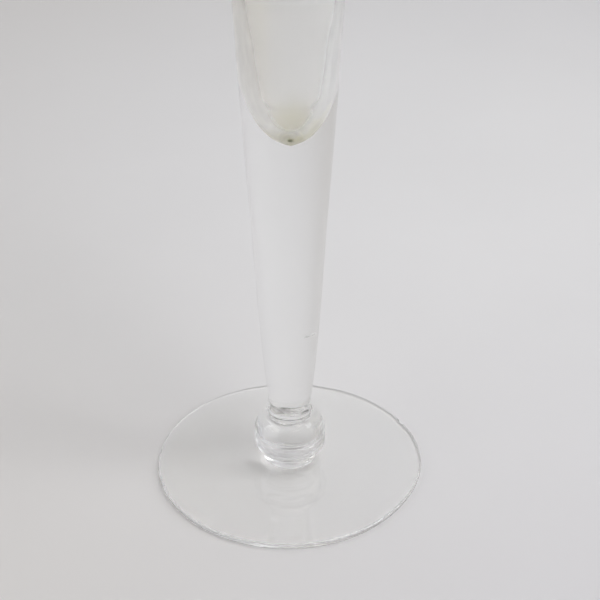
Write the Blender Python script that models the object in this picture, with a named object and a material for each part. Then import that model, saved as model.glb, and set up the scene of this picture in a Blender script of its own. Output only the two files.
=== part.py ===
"""A tall clear glass footed trumpet vase, as the glassmaker's separate gathers of glass.

Disc foot, collar, knop, solid stem and blown trumpet bowl stand on one axis, +Z up. Collar and knop
are the lower and the upper half of a flattened ball.
The origin is the centre of the circle that the foot stands on. Lengths are in metres.
"""

import math

import bmesh
import bpy
from mathutils import Vector

MM = 0.001
SEGMENTS = 48                 # sides of every turned piece
JOINT_GAP = 0.3 * MM          # room between two gathers, which are fused on the real vase

# Heights of the joints between the gathers, measured from the standing plane.
FOOT_JOINT_Z = 7.2 * MM
KNOP_JOINT_Z = 18.5 * MM
STEM_JOINT_Z = 28.15 * MM
BOWL_JOINT_Z = 140.0 * MM
LIP_Z = 400.0 * MM

# Foot: a spun disc with a rounded rim, standing on a narrow ring just inside it.
FOOT_RADIUS = 55.0 * MM
RIM_THICKNESS = 2.6 * MM
STANDING_RING_WIDTH = 3.6 * MM
PONTIL_RADIUS = 9.0 * MM      # hollow ground where the foot was cracked off the iron
PONTIL_Z = 1.5 * MM
PONTIL_DEPTH = 0.9 * MM
UNDERSIDE_BEND = (30.0 * MM, 1.1 * MM)

# The foot's top, (radius, height) in millimetres from beside the rim in to the narrow neck.
FOOT_TOP_LINE = [(40.0, 2.85), (24.0, 3.35), (14.5, 4.25), (12.0, 4.9), (10.4, 5.8), (9.6, 7.2)]

# Collar: the lower half of the ball, (radius, height) in millimetres from the neck up to the crease.
COLLAR_LINE = [
    (9.6, 7.2), (9.4, 8.3), (9.7, 9.4), (10.6, 10.3), (12.0, 11.0), (13.2, 11.6), (14.0, 12.2),
    (14.3, 12.9), (14.4, 13.8), (14.35, 16.4), (14.1, 17.2), (13.6, 17.8), (13.0, 18.15), (12.4, 18.5),
]

# Knop: the upper half of the ball, from the crease up to where the stem was dropped on.
KNOP_CREASE_LINE = [(12.4, 18.5), (13.2, 18.95), (13.9, 19.45), (14.3, 20.0)]
KNOP_RADIUS = 14.6 * MM
KNOP_CENTRE_Z = 17.5 * MM
KNOP_LOW_Z = 20.6 * MM        # between these heights the knop is a part of a sphere
KNOP_HIGH_Z = 27.2 * MM
KNOP_TOP_LINE = [(10.2, 27.75), (9.4, 28.0), (8.9, 28.15)]

# Stem and bowl share one drawn outer line, (radius, height) in millimetres.
STEM_LINE = [
    (8.9, 28.15), (8.5, 31.5), (9.2, 39.0), (10.95, 57.0), (12.9, 85.0), (14.6, 116.0), (16.25, 140.0),
]
SHOULDER_LINE = [(16.25, 140.0), (18.4, 174.0)]
# The hollow's rounded bottom, (radius, height) in millimetres from the tip up.
HOLLOW_LINE = [(0.0, 154.6), (4.7, 157.9), (8.6, 164.6), (11.0, 172.5), (12.3, 179.0)]

# Trumpet: above this height the bowl widens by a straight taper and a cubic flare.
TRUMPET_Z = 208.0 * MM
TRUMPET_RADIUS = 20.2 * MM
TRUMPET_TAPER = 0.045
TRUMPET_FLARE = 19.0 * MM
TRUMPET_RINGS = 9
WALL_AT_TRUMPET = 4.0 * MM
WALL_AT_LIP = 2.2 * MM
LIP_ROUNDING = 1.1 * MM       # height over which the fire-polished lip is rounded

GLASS_COLOUR = (0.90, 0.92, 0.90, 1.0)
GLASS_ROUGHNESS = 0.03
GLASS_IOR = 1.5


def in_metres(line):
    return [(radius * MM, height * MM) for radius, height in line]


def arc(centre, radius, start_degrees, end_degrees, steps):
    """Points (r, z) along an arc, angles counted from +r towards +z."""
    points = []
    for step in range(steps + 1):
        angle = math.radians(start_degrees + (end_degrees - start_degrees) * step / steps)
        points.append((centre[0] + radius * math.cos(angle), centre[1] + radius * math.sin(angle)))
    return points


def smooth_line(points, steps):
    """A Catmull-Rom curve through the points, with a number of steps between each two."""
    ends = [points[0]] + points + [points[-1]]
    vectors = [Vector(point) for point in ends]
    curve = []
    for before, start, end, after in zip(vectors, vectors[1:], vectors[2:], vectors[3:]):
        for step in range(steps):
            t = step / steps
            point = 0.5 * (
                2 * start
                + (end - before) * t
                + (2 * before - 5 * start + 4 * end - after) * t**2
                + (3 * start - before - 3 * end + after) * t**3
            )
            curve.append(tuple(point))
    curve.append(points[-1])
    return curve


def cut_low(side, joint_z):
    """The side of a gather with its lower end drawn back to its own edge of the joint's gap."""
    return [(side[0][0], joint_z + JOINT_GAP / 2)] + side[1:]


def cut_high(side, joint_z):
    return side[:-1] + [(side[-1][0], joint_z - JOINT_GAP / 2)]


def glass_material(name):
    material = bpy.data.materials.new(name)
    material.use_nodes = True
    shader = material.node_tree.nodes["Principled BSDF"]
    shader.inputs["Base Color"].default_value = GLASS_COLOUR
    shader.inputs["Metallic"].default_value = 0.0
    shader.inputs["Roughness"].default_value = GLASS_ROUGHNESS
    shader.inputs["IOR"].default_value = GLASS_IOR
    shader.inputs["Transmission Weight"].default_value = 1.0
    material.diffuse_color = GLASS_COLOUR
    return material


def turned(name, outline):
    """Spins an outline of (r, z) points, which starts and ends on the axis, into a closed solid."""
    shape = bmesh.new()
    points = [shape.verts.new((radius, 0.0, height)) for radius, height in outline]
    edges = [shape.edges.new(pair) for pair in zip(points, points[1:])]
    bmesh.ops.spin(
        shape,
        geom=points + edges,
        cent=(0, 0, 0),
        axis=(0, 0, 1),
        angle=2 * math.pi,
        steps=SEGMENTS,
    )
    bmesh.ops.remove_doubles(shape, verts=shape.verts, dist=0.01 * MM)
    bmesh.ops.recalc_face_normals(shape, faces=shape.faces)
    mesh = bpy.data.meshes.new(name)
    shape.to_mesh(mesh)
    shape.free()
    mesh.shade_smooth()
    mesh.set_sharp_from_angle(angle=math.radians(40))
    mesh.materials.append(glass_material(name))
    piece = bpy.data.objects.new(name, mesh)
    bpy.context.scene.collection.objects.link(piece)
    return piece


def foot():
    half_rim = RIM_THICKNESS / 2
    ring_outside = FOOT_RADIUS - half_rim
    ring_inside = ring_outside - STANDING_RING_WIDTH
    pontil = [
        (0.0, PONTIL_Z + PONTIL_DEPTH),
        (0.6 * PONTIL_RADIUS, PONTIL_Z + 0.6 * PONTIL_DEPTH),
        (PONTIL_RADIUS, PONTIL_Z),
    ]
    underside = [UNDERSIDE_BEND, (ring_inside, 0.0), (ring_outside, 0.0)]
    rim = arc((ring_outside, half_rim), half_rim, -90, 90, 6)[1:]
    top = cut_high(smooth_line(rim[-1:] + in_metres(FOOT_TOP_LINE), 2)[1:], FOOT_JOINT_Z)
    return turned("foot", pontil + underside + rim + top + [(0.0, top[-1][1])])


def collar():
    side = cut_low(cut_high(in_metres(COLLAR_LINE), KNOP_JOINT_Z), FOOT_JOINT_Z)
    return turned("collar", [(0.0, side[0][1])] + side + [(0.0, side[-1][1])])


def knop():
    first = math.degrees(math.asin((KNOP_LOW_Z - KNOP_CENTRE_Z) / KNOP_RADIUS))
    last = math.degrees(math.asin((KNOP_HIGH_Z - KNOP_CENTRE_Z) / KNOP_RADIUS))
    cap = arc((0.0, KNOP_CENTRE_Z), KNOP_RADIUS, first, last, 8)
    side = in_metres(KNOP_CREASE_LINE) + cap + in_metres(KNOP_TOP_LINE)
    side = cut_low(cut_high(side, STEM_JOINT_Z), KNOP_JOINT_Z)
    return turned("knop", [(0.0, side[0][1])] + side + [(0.0, side[-1][1])])


def stem():
    side = cut_low(cut_high(smooth_line(in_metres(STEM_LINE), 2), BOWL_JOINT_Z), STEM_JOINT_Z)
    return turned("stem", [(0.0, side[0][1])] + side + [(0.0, side[-1][1])])


def trumpet_walls():
    """The outer and the inner line (r, z) of the trumpet, from its start to just under the lip."""
    outside = []
    inside = []
    top_z = LIP_Z - LIP_ROUNDING
    for ring in range(TRUMPET_RINGS + 1):
        # The rings lie closer together towards the lip, where the wall bends most.
        rise = math.sin(math.pi / 2 * ring / TRUMPET_RINGS)
        z = TRUMPET_Z + (top_z - TRUMPET_Z) * rise
        radius = TRUMPET_RADIUS + TRUMPET_TAPER * (z - TRUMPET_Z) + TRUMPET_FLARE * rise**3
        slope = TRUMPET_TAPER + 3 * TRUMPET_FLARE * rise**2 / (top_z - TRUMPET_Z)
        wall = WALL_AT_LIP + (WALL_AT_TRUMPET - WALL_AT_LIP) * (1 - rise) ** 2
        outside.append((radius, z))
        inside.append((radius - wall * math.hypot(1, slope), z))
    return outside, inside


def bowl():
    trumpet_outside, trumpet_inside = trumpet_walls()
    outside = smooth_line(in_metres(SHOULDER_LINE) + trumpet_outside[:1], 2)[:-1] + trumpet_outside
    outside = cut_low(outside, BOWL_JOINT_Z)
    inside = smooth_line(in_metres(HOLLOW_LINE) + trumpet_inside[:1], 2)[:-1] + trumpet_inside
    lip_middle = (outside[-1][0] + inside[-1][0]) / 2
    lip_half = (outside[-1][0] - inside[-1][0]) / 2
    lip = [
        (lip_middle + 0.7 * lip_half, LIP_Z - 0.3 * LIP_ROUNDING),
        (lip_middle, LIP_Z),
        (lip_middle - 0.7 * lip_half, LIP_Z - 0.3 * LIP_ROUNDING),
    ]
    return turned("bowl", [(0.0, outside[0][1])] + outside + lip + inside[::-1])


def main():
    for old in list(bpy.data.objects):
        bpy.data.objects.remove(old)
    vase = bpy.data.objects.new("vase", None)
    bpy.context.scene.collection.objects.link(vase)
    for make_piece in (foot, collar, knop, stem, bowl):
        make_piece().parent = vase


main()
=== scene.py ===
"""The looks of a clear glass footed trumpet vase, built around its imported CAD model.

Every gather of glass (foot, collar, knop, stem, bowl) is turned again from its own CAD outline, on a
finer mesh and with the marks of hand work: a rim that is out of round and nicked, spinning rings in
the foot, a tilted crease round the ball, chill lines where the stem was dropped on, drawn cords, a
seed in the stem and lime residue in the bottom of the hollow. Lengths are in metres.
"""

import math

import bpy
import numpy as np
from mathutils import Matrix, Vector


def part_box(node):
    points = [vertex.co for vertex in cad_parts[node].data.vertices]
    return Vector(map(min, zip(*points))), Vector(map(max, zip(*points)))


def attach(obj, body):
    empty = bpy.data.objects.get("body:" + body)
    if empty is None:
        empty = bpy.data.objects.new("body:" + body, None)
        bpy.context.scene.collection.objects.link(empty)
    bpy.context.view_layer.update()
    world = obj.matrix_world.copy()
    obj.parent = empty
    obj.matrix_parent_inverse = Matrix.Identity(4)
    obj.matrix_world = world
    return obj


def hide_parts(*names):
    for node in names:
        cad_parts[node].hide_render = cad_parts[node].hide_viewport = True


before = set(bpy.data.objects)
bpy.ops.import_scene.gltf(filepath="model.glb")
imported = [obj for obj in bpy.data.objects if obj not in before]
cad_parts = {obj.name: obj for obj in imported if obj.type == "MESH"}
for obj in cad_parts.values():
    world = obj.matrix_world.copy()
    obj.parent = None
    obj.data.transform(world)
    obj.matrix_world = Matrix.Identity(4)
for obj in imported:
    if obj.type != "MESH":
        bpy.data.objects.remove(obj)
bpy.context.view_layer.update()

MM = 0.001

# Material slots of every gather: its skin, its fused ends and, in the bowl, the skin of the hollow.
GLASS = 0
JOINT = 1
FILM = 2


def box_z(node):
    """The lowest and the highest z of a CAD node."""
    low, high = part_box(node)
    return low.z, high.z


def joint_z(below, above):
    """The plane where two gathers are fused: halfway across the gap that the CAD model leaves."""
    return (box_z(below)[1] + box_z(above)[0]) / 2


FOOT_JOINT = joint_z("foot", "collar")
KNOP_JOINT = joint_z("collar", "knop")
STEM_JOINT = joint_z("knop", "stem")
BOWL_JOINT = joint_z("stem", "bowl")


# ---------------------------------------------------------------- outlines

def outline_of(node):
    """The turned outline (r, z) of a CAD node in the half plane y = 0, x > 0, from its lower end on."""
    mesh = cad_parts[node].data
    beside = {}
    for edge in mesh.edges:
        ends = [mesh.vertices[index].co for index in edge.vertices]
        if any(abs(end.y) > 1e-6 or end.x < -1e-6 for end in ends):
            continue
        first, second = [(round(abs(end.x), 6), round(end.z, 6)) for end in ends]
        if first != second:
            beside.setdefault(first, set()).add(second)
            beside.setdefault(second, set()).add(first)
    here = min((point for point in beside if len(beside[point]) == 1), key=lambda point: point[1])
    outline = [here]
    came_from = None
    while True:
        onward = [point for point in beside[here] if point != came_from]
        if not onward:
            return outline
        came_from, here = here, onward[0]
        outline.append(here)


def hollow_tip_z():
    """The height of the hollow's tip, where the bowl's outline comes back to the axis."""
    return outline_of("bowl")[-1][1]


def refined(points, spacing, before=None, after=None):
    """A smooth curve through the points (centripetal Catmull-Rom), sampled about every spacing.

    spacing is a length, or a function of the height z. before and after are the neighbours' points
    past each end, so that fused pieces meet smoothly.
    """
    points = [np.array(point) for point in points]
    first = np.array(before) if before is not None else 2 * points[0] - points[1]
    last = np.array(after) if after is not None else 2 * points[-1] - points[-2]
    chain = [first] + points + [last]
    curve = []
    for p0, p1, p2, p3 in zip(chain, chain[1:], chain[2:], chain[3:]):
        t1 = max(np.linalg.norm(p1 - p0), 1e-9) ** 0.5
        t2 = t1 + max(np.linalg.norm(p2 - p1), 1e-9) ** 0.5
        t3 = t2 + max(np.linalg.norm(p3 - p2), 1e-9) ** 0.5
        step_length = spacing(p1[1]) if callable(spacing) else spacing
        steps = max(1, math.ceil(np.linalg.norm(p2 - p1) / step_length))
        for step in range(steps):
            t = t1 + (t2 - t1) * step / steps
            a1 = (t1 - t) / t1 * p0 + t / t1 * p1
            a2 = (t2 - t) / (t2 - t1) * p1 + (t - t1) / (t2 - t1) * p2
            a3 = (t3 - t) / (t3 - t2) * p2 + (t - t2) / (t3 - t2) * p3
            b1 = (t2 - t) / t2 * a1 + t / t2 * a2
            b2 = (t3 - t) / (t3 - t1) * a2 + (t - t1) / (t3 - t1) * a3
            curve.append((t2 - t) / (t2 - t1) * b1 + (t - t1) / (t2 - t1) * b2)
    curve.append(points[-1])
    return [(max(float(r), 0.0), float(z)) for r, z in curve]


def without_axis(points):
    return [point for point in points if point[0] > 1e-5]


def with_part(points, part):
    return [(r, z, part) for r, z in points]


# ---------------------------------------------------------------- hand work

def bump(value, centre, width):
    return np.exp(-(((value - centre) / width) ** 2))


def rise(value, low, high):
    """Goes smoothly from 0 at low to 1 at high."""
    t = np.clip((value - low) / (high - low), 0.0, 1.0)
    return t * t * (3 - 2 * t)


def turned_from(angle, degrees):
    """How far an angle lies round from a heading, between -180 and 180 degrees."""
    return (np.degrees(angle) - degrees + 180) % 360 - 180


def one_side(angle, degrees):
    """1 at a heading, going smoothly to 0 on the opposite side."""
    return 0.5 + 0.5 * np.cos(angle - math.radians(degrees))


# Drawn cords: how many streaks go round, their share of the depth, and where they start in degrees.
CORD_WAVES = ((7, 1.0, 10), (11, 0.9, 75), (18, 0.7, 140), (29, 0.45, 200))
CORD_DEPTH = 0.006 * MM
CORD_TWIST = 9.0              # phase gained per metre of height, times the root of the count


def cords(angle, z):
    """Drawn cords: thicker and thinner streaks that run up the gather, turning a little."""
    total = np.zeros_like(angle)
    for count, size, turn in CORD_WAVES:
        total += size * np.cos(count * (angle - math.radians(turn)) + CORD_TWIST * z * math.sqrt(count))
    return CORD_DEPTH * total


NARROW_SIDE = -35             # heading of the foot's narrower side, in degrees
NICK = 29.2                   # heading of the nick in the foot's rim, in degrees
# The two chips beside the nick: heading and half width in degrees, and depth.
NICK_CHIPS = ((30.2, 1.1, 0.55 * MM), (27.6, 0.8, 0.40 * MM))


def work_foot(r, z, angle, part):
    """One side of the disc was spun narrower, its rim is nicked, and its top waves a little."""
    outer = rise(r, 26 * MM, 52 * MM)
    new_r = r - 1.25 * MM * outer * bump(turned_from(angle, NARROW_SIDE), 0, 27)
    new_r += 0.12 * MM * outer * (np.cos(3 * angle - 0.6) - 1)
    edge = rise(r, 53.2 * MM, 54.4 * MM)
    for heading, half_width, depth in NICK_CHIPS:
        new_r -= depth * edge * bump(turned_from(angle, heading), 0, half_width)
    top = rise(z, 2.2 * MM, 2.6 * MM) * rise(r, 16 * MM, 24 * MM)
    fine_rings = 0.6 * np.sin(r / (1.15 * MM) + 0.8 * np.sin(angle))
    wide_rings = np.sin(r / (2.9 * MM) + 1.4 * np.cos(angle))
    new_z = z + 0.012 * MM * top * (fine_rings + wide_rings)
    new_z += 0.05 * MM * top * outer * np.cos(2 * angle + 0.9)
    upper_edge = edge * rise(z, 1.0 * MM, 2.0 * MM)
    new_z -= 0.5 * MM * upper_edge * bump(turned_from(angle, NICK), 0, 1.5)
    return new_r * np.cos(angle), new_r * np.sin(angle), new_z


CREASE_TILT = 0.035           # rise of the crease per distance to the left
CREASE_REACH = 4.5 * MM       # how far above and below the crease the ball tilts with it


def work_ball(r, z, angle, part):
    """The crease round the ball is tilted, and both halves are slightly out of round.

    The lower gather has two fine grooves on its left side and one on its front right.
    """
    left = one_side(angle, 205)
    right = one_side(angle, -35)
    round_off = rise(r, 8 * MM, 13 * MM)
    new_r = r * (1 + 0.004 * round_off * np.cos(2 * angle - 0.9) + 0.003 * round_off * np.cos(3 * angle))
    new_r -= 0.10 * MM * left**2 * bump(z, 13.6 * MM, 0.30 * MM)
    new_r -= 0.08 * MM * left**2 * bump(z, 15.3 * MM, 0.25 * MM)
    new_r -= 0.10 * MM * right**4 * bump(z, 14.4 * MM, 0.35 * MM)
    new_z = z - CREASE_TILT * r * np.cos(angle) * bump(z, KNOP_JOINT, CREASE_REACH)
    return new_r * np.cos(angle), new_r * np.sin(angle), new_z


CHILL_Z = 32.4 * MM           # the middle of the chill lines
CHILL_REACH = 1.9 * MM
CHILL_DEPTH = 0.055 * MM


def work_shank(r, z, angle, part):
    """The stem and the outside of the bowl: slightly oval, corded, with chill lines at the foot end."""
    clear_of_knop = rise(z, 29 * MM, 40 * MM)
    turn = np.radians(turned_from(angle, -90))
    front = 0.5 + 0.5 * np.cos(turn)
    slant = z + 1.5 * MM * turn + 0.25 * MM * np.sin(5 * turn)
    chill = np.sin(slant / (0.36 * MM)) + 0.7 * np.sin(slant / (0.55 * MM) + 1.0)
    new_r = r * (1 + 0.004 * clear_of_knop * np.cos(2 * angle - 0.9))
    new_r += clear_of_knop * cords(angle, z)
    new_r += CHILL_DEPTH * chill * (0.25 + 0.75 * front) * bump(z, CHILL_Z, CHILL_REACH)
    return new_r * np.cos(angle), new_r * np.sin(angle), z


HOLLOW_OFF_AXIS = 0.4 * MM    # how far the bottom of the hollow was blown to the right


def work_bowl(r, z, angle, part):
    """As the stem outside. The hollow is only faintly corded and was blown a little off the axis."""
    outside_x, outside_y, _ = work_shank(r, z, angle, part)
    inside = part == FILM
    off_axis = HOLLOW_OFF_AXIS * (1 - rise(z, 180 * MM, 330 * MM))
    inner_r = r + 0.15 * rise(z, 158 * MM, 175 * MM) * cords(angle + 0.7, z)
    x = np.where(inside, inner_r * np.cos(angle) + off_axis, outside_x)
    y = np.where(inside, inner_r * np.sin(angle), outside_y)
    return x, y, z


# ---------------------------------------------------------------- meshes

def even_angles(count):
    return np.arange(count) * 2 * math.pi / count


def turned(name, outline, angles, worked, inclusions=()):
    """A closed solid turned from an outline of (r, z, part) that starts and ends on the axis.

    part is the material slot of the band that leaves that point. worked(r, z, angle, part) returns
    the places x, y, z of the points after hand work. inclusions are hollows closed within the glass.
    """
    count = len(angles)
    rings = []
    places = []
    for r, z, part in outline:
        if r < 1e-7:
            rings.append([len(places)])
            places.append((0.0, z, 0.0, part))
        else:
            rings.append(list(range(len(places), len(places) + count)))
            places += [(r, z, angle, part) for angle in angles]
    columns = np.array(places).T
    vertices = list(zip(*worked(*columns)))
    faces = []
    parts = []
    for (lower, upper), (_, _, part) in zip(zip(rings, rings[1:]), outline):
        for here in range(count):
            there = (here + 1) % count
            if len(lower) == 1:
                faces.append((lower[0], upper[there], upper[here]))
            elif len(upper) == 1:
                faces.append((lower[here], lower[there], upper[0]))
            else:
                faces.append((lower[here], lower[there], upper[there], upper[here]))
            parts.append(part)
    for more_vertices, more_faces in inclusions:
        faces += [tuple(index + len(vertices) for index in face) for face in more_faces]
        vertices += more_vertices
        parts += [GLASS] * len(more_faces)
    mesh = bpy.data.meshes.new(name)
    mesh.from_pydata(vertices, [], faces)
    mesh.polygons.foreach_set("material_index", parts)
    mesh.shade_smooth()
    mesh.set_sharp_from_angle(angle=math.radians(50))
    piece = bpy.data.objects.new(name, mesh)
    bpy.context.scene.collection.objects.link(piece)
    return piece


def seed(start, end, half_width):
    """A drawn-out air bubble between two points. Its faces point into the air inside it."""
    start, end = np.array(start), np.array(end)
    along = end - start
    across = np.cross(along, (0.0, 0.0, 1.0))
    across /= np.linalg.norm(across)
    upwards = np.cross(along, across)
    upwards /= np.linalg.norm(upwards)
    rings = 16
    sides = 12
    vertices = [tuple(start)]
    for ring in range(1, rings):
        share = (1 - math.cos(math.pi * ring / rings)) / 2
        width = half_width * math.sin(math.pi * ring / rings) ** 0.7 * (1 + 0.25 * math.sin(9 * share))
        for side in range(sides):
            turn = 2 * math.pi * side / sides
            way = across * math.cos(turn) + upwards * math.sin(turn)
            vertices.append(tuple(start + along * share + way * width))
    vertices.append(tuple(end))
    faces = []
    for side in range(sides):
        beside = (side + 1) % sides
        faces.append((0, 1 + side, 1 + beside))
        for ring in range(rings - 2):
            low = 1 + ring * sides
            high = low + sides
            faces.append((low + side, high + side, high + beside, low + beside))
        low = 1 + (rings - 2) * sides
        faces.append((low + side, len(vertices) - 1, low + beside))
    return vertices, faces


# ---------------------------------------------------------------- material tools

def new_material(name):
    material = bpy.data.materials.new(name)
    material.use_nodes = True
    return material, material.node_tree, material.node_tree.nodes["Principled BSDF"]


def add_node(tree, kind, inputs, **settings):
    """A shader node. Each input is given a value, or the output socket that is linked to it."""
    new = tree.nodes.new("ShaderNode" + kind)
    for name, value in settings.items():
        setattr(new, name, value)
    for name, value in inputs.items():
        if isinstance(value, bpy.types.NodeSocket):
            tree.links.new(value, new.inputs[name])
        else:
            new.inputs[name].default_value = value
    return new


def ramped(tree, value, low, high, at_low, at_high):
    inputs = {"Value": value, "From Min": low, "From Max": high, "To Min": at_low, "To Max": at_high}
    return add_node(tree, "MapRange", inputs, interpolation_type="SMOOTHSTEP").outputs["Result"]


def maths(tree, operation, first, second=0.0):
    return add_node(tree, "Math", {0: first, 1: second}, operation=operation).outputs[0]


def vector_maths(tree, operation, first, second, output="Vector"):
    return add_node(tree, "VectorMath", {0: first, 1: second}, operation=operation).outputs[output]


def length_of(tree, vector):
    return add_node(tree, "VectorMath", {0: vector}, operation="LENGTH").outputs["Value"]


def mixed(tree, factor, first, second):
    node = add_node(tree, "Mix", {}, data_type="RGBA")
    for name, value in {"Factor": factor, "A": first, "B": second}.items():
        if isinstance(value, bpy.types.NodeSocket):
            tree.links.new(value, node.inputs[name])
        else:
            node.inputs[name].default_value = value
    return node.outputs["Result"]


def noise(tree, place, scale, detail, variant):
    inputs = {"Vector": place, "Scale": scale, "Detail": detail, "W": variant}
    return add_node(tree, "TexNoise", inputs, noise_dimensions="4D").outputs["Fac"]


def object_place(tree):
    return add_node(tree, "TexCoord", {}).outputs["Object"]


def grey_ramp(tree, value, stops):
    """A value turned into a grey by a colour ramp with stops (position, grey)."""
    node = add_node(tree, "ValToRGB", {"Fac": value})
    ramp = node.color_ramp
    while len(ramp.elements) > 1:
        ramp.elements.remove(ramp.elements[-1])
    ramp.elements[0].position = stops[0][0]
    ramp.elements[0].color = (stops[0][1],) * 3 + (1.0,)
    for position, grey in stops[1:]:
        ramp.elements.new(position).color = (grey,) * 3 + (1.0,)
    return node.outputs["Color"]


# ---------------------------------------------------------------- glass

GLASS_IOR = 1.5
CLEAR = (0.996, 0.998, 0.995, 1.0)
CLEAR_THICK = (0.990, 0.993, 0.986, 1.0)
HAZE = (0.97, 0.97, 0.96, 1.0)
HAZE_WARM = (0.96, 0.945, 0.895, 1.0)
LIME = (0.66, 0.62, 0.38, 1.0)
LIME_DARK = (0.12, 0.13, 0.05, 1.0)


def glass_base(name, variant):
    """Clear glass: fire-polished skin that wanders a little, with faint finger smudges."""
    material, tree, shader = new_material(name)
    place = object_place(tree)
    shader.inputs["IOR"].default_value = GLASS_IOR
    shader.inputs["Transmission Weight"].default_value = 1.0
    smudge = ramped(tree, noise(tree, place, 45.0, 5.0, variant), 0.56, 0.74, 0.0, 0.05)
    tree.links.new(smudge, shader.inputs["Roughness"])
    tint = mixed(tree, noise(tree, place, 30.0, 2.0, variant + 5), CLEAR, CLEAR_THICK)
    tree.links.new(tint, shader.inputs["Base Color"])
    wander = noise(tree, place, 80.0, 2.0, variant + 9)
    skin = add_node(tree, "Bump", {"Height": wander, "Strength": 1.0, "Distance": 0.03 * MM})
    tree.links.new(skin.outputs["Normal"], shader.inputs["Normal"])
    return material, tree, shader, place, smudge


def clear_glass(name, variant):
    return glass_base(name, variant)[0]


def foot_glass():
    """The foot's glass: as the rest, with wear on the ring that it stands on and a ground pontil."""
    material, tree, shader, place, smudge = glass_base("foot", 1.0)
    split = add_node(tree, "SeparateXYZ", {"Vector": place}).outputs
    flat = add_node(tree, "CombineXYZ", {"X": split["X"], "Y": split["Y"]}).outputs["Vector"]
    low = ramped(tree, split["Z"], 0.02 * MM, 0.25 * MM, 1.0, 0.0)
    scuffs = ramped(tree, noise(tree, place, 900.0, 3.0, 2.0), 0.45, 0.65, 0.0, 0.08)
    wear = maths(tree, "MULTIPLY", low, scuffs)
    under = ramped(tree, split["Z"], 2.45 * MM, 2.55 * MM, 1.0, 0.0)
    ground = ramped(tree, length_of(tree, flat), 8.4 * MM, 9.2 * MM, 0.12, 0.0)
    pontil = maths(tree, "MULTIPLY", under, ground)
    rough = maths(tree, "ADD", maths(tree, "MAXIMUM", wear, pontil), smudge)
    tree.links.new(rough, shader.inputs["Roughness"])
    return material


def hollow_haze(tree, place, height):
    """A haze over the whole hollow, in runs that go down the wall. It fades towards the lip."""
    stretched = vector_maths(tree, "MULTIPLY", place, (1.0, 1.0, 0.10))
    runs = ramped(tree, noise(tree, stretched, 260.0, 3.0, 8.0), 0.35, 0.75, 0.70, 1.0)
    fade = ramped(tree, height, 60.0 * MM, 170.0 * MM, 1.0, 0.08)
    return maths(tree, "MULTIPLY", runs, fade)


def lime_deposit(tree, place, x, height):
    """Lime that gathered in the tip. It creeps up the two sides, and more so on the right."""
    side_creep = maths(tree, "MULTIPLY", maths(tree, "MULTIPLY", x, x), 30.0)
    creep = maths(tree, "ADD", side_creep, maths(tree, "MULTIPLY", x, 0.14))
    tide = maths(tree, "SUBTRACT", height, creep)
    cloud = maths(tree, "SUBTRACT", noise(tree, place, 260.0, 5.0, 3.0), 0.5)
    ragged = maths(tree, "ADD", tide, maths(tree, "MULTIPLY", cloud, 12.0 * MM))
    return ramped(tree, ragged, 2.0 * MM, 13.0 * MM, 1.0, 0.0)


DROP_PLACE = (0.4 * MM, -5.0 * MM, 0.0)      # where the last drop dried, in front of the tip
DROP_RADIUS = 6.0 * MM
# How dark the drop left the glass, from its middle (0) to its edge (1): a spot and three rings.
DROP_RINGS = (
    (0.00, 1.0), (0.11, 0.90), (0.15, 0.06), (0.185, 0.60), (0.22, 0.06), (0.34, 0.05), (0.385, 0.50),
    (0.43, 0.05), (0.53, 0.03), (0.57, 0.35), (0.62, 0.03), (0.90, 0.0),
)


def dried_drop(tree, place, height):
    """The dark spot and rings of the last drop."""
    from_drop = vector_maths(tree, "SUBTRACT", place, DROP_PLACE)
    in_plan = vector_maths(tree, "MULTIPLY", from_drop, (1.0, 1.0, 0.0))
    share = maths(tree, "DIVIDE", length_of(tree, in_plan), DROP_RADIUS)
    near_tip = ramped(tree, height, 6.0 * MM, 10.0 * MM, 1.0, 0.0)
    return maths(tree, "MULTIPLY", grey_ramp(tree, share, DROP_RINGS), near_tip)


def lime_specks(tree, place):
    cells = add_node(tree, "TexVoronoi", {"Vector": place, "Scale": 170.0}).outputs["Distance"]
    chosen = ramped(tree, noise(tree, place, 90.0, 1.0, 6.0), 0.56, 0.62, 0.0, 1.0)
    return maths(tree, "MULTIPLY", ramped(tree, cells, 0.05, 0.11, 0.75, 0.0), chosen)


def film_glass():
    """The hollow's skin: haze, warmer on the left, with specks, and lime and a dried drop in the tip."""
    material, tree, shader, place, _ = glass_base("film", 4.0)
    split = add_node(tree, "SeparateXYZ", {"Vector": place}).outputs
    x = maths(tree, "SUBTRACT", split["X"], HOLLOW_OFF_AXIS)
    height = maths(tree, "SUBTRACT", split["Z"], hollow_tip_z())
    haze = hollow_haze(tree, place, height)
    deposit = lime_deposit(tree, place, x, height)
    marks = maths(tree, "ADD", dried_drop(tree, place, height), lime_specks(tree, place))
    marks = maths(tree, "MINIMUM", marks, 1.0)

    warm_side = ramped(tree, x, -10.0 * MM, -4.0 * MM, 1.0, 0.0)
    veil = mixed(tree, warm_side, HAZE, HAZE_WARM)
    lime = mixed(tree, deposit, veil, LIME)
    tree.links.new(mixed(tree, marks, lime, LIME_DARK), shader.inputs["Base Color"])

    # The share of the skin that is no longer clear.
    at_sides = ramped(tree, maths(tree, "ABSOLUTE", x), 7.0 * MM, 12.0 * MM, 0.16, 0.34)
    veiled = maths(tree, "MULTIPLY", haze, at_sides)
    limed = maths(tree, "MULTIPLY", deposit, 0.30)
    marked = maths(tree, "MULTIPLY", marks, 0.7)
    cover = maths(tree, "ADD", veiled, maths(tree, "ADD", limed, marked))
    cover = maths(tree, "MINIMUM", cover, 0.95)
    tree.links.new(maths(tree, "SUBTRACT", 1.0, cover), shader.inputs["Transmission Weight"])
    tree.links.new(maths(tree, "MULTIPLY", haze, 0.55), shader.inputs["Roughness"])
    return material


def fused_joint():
    """The plane inside the glass where two gathers are one: light passes straight through it."""
    material, _, shader = new_material("fused_joint")
    shader.inputs["Alpha"].default_value = 0.0
    return material


joint_material = fused_joint()


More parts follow.
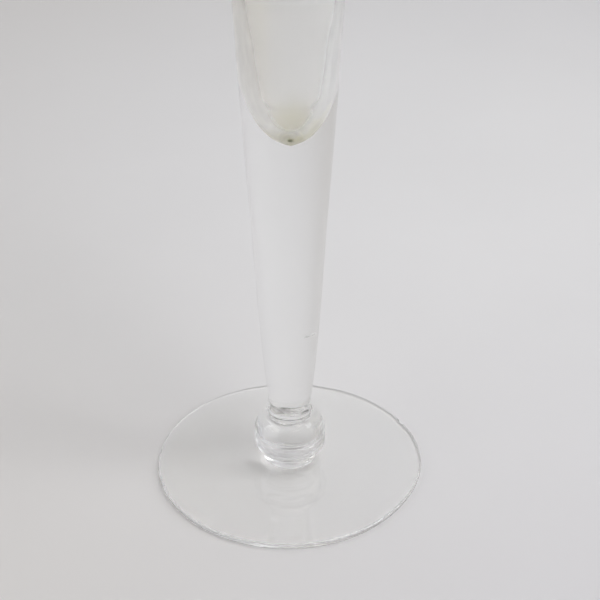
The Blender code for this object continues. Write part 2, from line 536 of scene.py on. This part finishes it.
# ---------------------------------------------------------------- the gathers

def finish_piece(piece, node, materials):
    for material in materials:
        piece.data.materials.append(material)
    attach(piece, "root")
    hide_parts(node)


def make_foot():
    whole = outline_of("foot")
    side = without_axis(whole)
    side[-1] = (side[-1][0], FOOT_JOINT)
    curve = refined([whole[0]] + side, 0.8 * MM)
    curve = [(r, max(z, 0.0)) for r, z in curve]
    outline = with_part(curve[:-1], GLASS) + with_part(curve[-1:], JOINT) + [(0.0, FOOT_JOINT, JOINT)]
    by_the_nick = np.radians(np.arange(25.0, 33.0, 0.25))
    angles = np.unique(np.round(np.concatenate([even_angles(240), by_the_nick]), 6))
    piece = turned("foot_disc", outline, angles, work_foot)
    finish_piece(piece, "foot", [foot_glass(), joint_material])


def make_between(node, name, low_joint, high_joint, spacing, worked, after=None, inclusions=()):
    """A gather that is fused at both ends."""
    side = without_axis(outline_of(node))
    side[0] = (side[0][0], low_joint)
    side[-1] = (side[-1][0], high_joint)
    curve = refined(side, spacing, after=after)
    outline = [(0.0, low_joint, JOINT)]
    outline += with_part(curve[:-1], GLASS)
    outline += with_part(curve[-1:], JOINT)
    outline += [(0.0, high_joint, JOINT)]
    piece = turned(name, outline, even_angles(180), worked, inclusions)
    glass_variant = 20.0 * low_joint / MM
    finish_piece(piece, node, [clear_glass(node, glass_variant), joint_material])


def stem_spacing(z):
    """Finer where the chill lines are."""
    return 0.25 * MM if z < 36 * MM else 1.0 * MM


SEED_START = (5.7 * MM, -10.0 * MM, 70.8 * MM)
SEED_END = (10.0 * MM, -5.7 * MM, 69.7 * MM)
SEED_HALF_WIDTH = 0.22 * MM


def make_stem():
    bowl_start = without_axis(outline_of("bowl"))[1]
    air = [seed(SEED_START, SEED_END, SEED_HALF_WIDTH)]
    make_between("stem", "drawn_stem", STEM_JOINT, BOWL_JOINT, stem_spacing, work_shank, bowl_start, air)


def make_bowl():
    chain = outline_of("bowl")
    wall = without_axis(chain)
    wall[0] = (wall[0][0], BOWL_JOINT)
    below = without_axis(outline_of("stem"))[-2]
    curve = refined(wall + [chain[-1]], 1.2 * MM, before=below)
    top = max(range(len(curve)), key=lambda index: curve[index][1])
    outline = [(0.0, BOWL_JOINT, JOINT)]
    outline += with_part(curve[:top], GLASS)
    outline += with_part(curve[top:-1], FILM)
    outline += [(0.0, curve[-1][1], FILM)]
    piece = turned("trumpet_bowl", outline, even_angles(180), work_bowl)
    finish_piece(piece, "bowl", [clear_glass("bowl", 2.0), joint_material, film_glass()])


make_foot()
make_between("collar", "collar_bead", FOOT_JOINT, KNOP_JOINT, 0.25 * MM, work_ball)
make_between("knop", "ball_knop", KNOP_JOINT, STEM_JOINT, 0.35 * MM, work_ball)
make_stem()
make_bowl()


# ---------------------------------------------------------------- stage

FLOOR_HALF = 12.0             # half the width of the square floor
FLOOR_Z = -0.05 * MM          # just below the foot, so that glass and floor share no face
# Painted light on the floor: the middle of a brighter pool painted into the paper, and the painted shade
# colours that the paper turns to towards its left and right edges.
FLOOR_PAINTED_LIGHT_MIDDLE = (0.08, 0.28, 0.0)
FLOOR_DARK = (0.80, 0.797, 0.80, 1.0)
FLOOR_LIGHT = (0.84, 0.837, 0.84, 1.0)
FLOOR_PAINTED_SHADE_LEFT = (0.722, 0.706, 0.69, 1.0)
FLOOR_PAINTED_SHADE_RIGHT = (0.697, 0.687, 0.70, 1.0)


def floor_paper():
    """Pale paper, faintly mottled, with painted light: a brighter pool is painted round a point behind
    the vase, and the paper turns to darker painted shade colours away from it, warmer on the left.
    """
    material, tree, shader = new_material("floor")
    place = object_place(tree)
    paper = mixed(tree, noise(tree, place, 14.0, 6.0, 1.0), FLOOR_DARK, FLOOR_LIGHT)
    # Painted light and shade: the mottled paper is mixed into a painted shade colour with distance from
    # the painted pool's middle, warmer on the left and cooler on the right.
    from_painted_light = vector_maths(tree, "DISTANCE", place, FLOOR_PAINTED_LIGHT_MIDDLE, "Value")
    shade = ramped(tree, from_painted_light, 0.05, 0.45, 0.0, 1.0)
    across = add_node(tree, "SeparateXYZ", {"Vector": place}).outputs["X"]
    edge = mixed(tree, ramped(tree, across, -0.15, 0.15, 0.0, 1.0), FLOOR_PAINTED_SHADE_LEFT, FLOOR_PAINTED_SHADE_RIGHT)
    tree.links.new(mixed(tree, shade, paper, edge), shader.inputs["Base Color"])
    shader.inputs["Roughness"].default_value = 0.9
    shader.inputs["Specular IOR Level"].default_value = 0.1
    return material


def add_floor():
    corners = [(-1, -1), (1, -1), (1, 1), (-1, 1)]
    mesh = bpy.data.meshes.new("floor")
    mesh.from_pydata([(x * FLOOR_HALF, y * FLOOR_HALF, FLOOR_Z) for x, y in corners], [], [(0, 1, 2, 3)])
    mesh.materials.append(floor_paper())
    floor = bpy.data.objects.new("floor", mesh)
    bpy.context.scene.collection.objects.link(floor)


WHITE = (1.0, 1.0, 1.0)
DAYLIGHT = (0.97, 0.985, 1.0)
WARM_WHITE = (1.0, 0.98, 0.95)
LAMPLIGHT = (1.0, 0.97, 0.92)


def add_light(name, azimuth, elevation, distance, width, height, radiance, colour):
    """A soft rectangular light that faces the vase. Azimuth is counted from +Y towards +X."""
    light = bpy.data.lights.new(name, "AREA")
    light.shape = "RECTANGLE"
    light.size = width
    light.size_y = height
    light.energy = radiance * math.pi * width * height
    light.color = colour
    lamp = bpy.data.objects.new(name, light)
    bpy.context.scene.collection.objects.link(lamp)
    a, e = math.radians(azimuth), math.radians(elevation)
    way = (math.sin(a) * math.cos(e), math.cos(a) * math.cos(e), math.sin(e))
    lamp.location = [distance * part for part in way]
    lamp.rotation_mode = "QUATERNION"
    lamp.rotation_quaternion = lamp.location.to_track_quat("Z", "Y")


ROOM_LEFT = (0.526, 0.511, 0.493, 1.0)
ROOM_RIGHT = (0.567, 0.573, 0.608, 1.0)
GLOW = 0.2                    # how much brighter the wall behind the vase is
GLOW_WAY = (0.0, 0.84, 0.54)
UNLIT_ROOM = 0.10             # brightness of the part of the room in front of the vase
UNLIT_WAY = (0.0, -0.97, 0.24)


def add_world():
    """Soft room light, warmer on the left and cooler on the right.

    A pale wall glows behind the vase, and a part of the room in front of it is unlit.
    """
    world = bpy.data.worlds.new("studio")
    bpy.context.scene.world = world
    world.use_nodes = True
    tree = world.node_tree
    background = tree.nodes["Background"]
    way = add_node(tree, "TexCoord", {}).outputs["Generated"]
    across = add_node(tree, "SeparateXYZ", {"Vector": way}).outputs["X"]
    room = mixed(tree, ramped(tree, across, -1.0, 1.0, 0.0, 1.0), ROOM_LEFT, ROOM_RIGHT)
    behind = vector_maths(tree, "DOT_PRODUCT", way, GLOW_WAY, "Value")
    glow = ramped(tree, behind, 0.55, 0.98, 1.0, 1.0 + GLOW)
    in_front = vector_maths(tree, "DOT_PRODUCT", way, UNLIT_WAY, "Value")
    unlit = ramped(tree, in_front, 0.60, 0.95, 1.0, UNLIT_ROOM)
    tree.links.new(room, background.inputs["Color"])
    tree.links.new(maths(tree, "MULTIPLY", glow, unlit), background.inputs["Strength"])


CAMERA_PLACE = (0.0042, -0.6292, 0.4896)
CAMERA_DOWN = 32.95           # degrees that the camera looks down


def add_camera():
    camera = bpy.data.cameras.new("camera")
    camera.sensor_width = 36.0
    camera.lens = 114.0
    camera.clip_start = 0.05
    viewer = bpy.data.objects.new("camera", camera)
    viewer.location = CAMERA_PLACE
    viewer.rotation_euler = (math.radians(90 - CAMERA_DOWN), 0.0, 0.0)
    bpy.context.scene.collection.objects.link(viewer)
    bpy.context.scene.camera = viewer


# How many times light may cross or bounce off glass: enough to get through the ball and the stem. Light
# that is caught in the foot's disc is cut off here, which leaves the rim its thin dark line.
GLASS_BOUNCES = 40


def set_light_paths():
    cycles = bpy.context.scene.cycles
    cycles.blur_glossy = 0.0
    cycles.max_bounces = GLASS_BOUNCES
    cycles.transmission_bounces = GLASS_BOUNCES
    cycles.glossy_bounces = GLASS_BOUNCES
    cycles.transparent_max_bounces = 64


add_floor()
add_world()
add_light("window", 101, 28, 1.3, width=0.50, height=0.36, radiance=4.6, colour=DAYLIGHT)
add_light("skylight", 122, 61, 1.5, width=0.85, height=0.85, radiance=2.9, colour=WHITE)
add_light("far_window", -121, 30, 3.0, width=1.8, height=0.6, radiance=2.0, colour=WARM_WHITE)
add_light("shelf", 150, 32, 3.0, width=2.1, height=0.1, radiance=3.0, colour=LAMPLIGHT)
add_camera()
bpy.context.scene.view_settings.view_transform = "Standard"
set_light_paths()
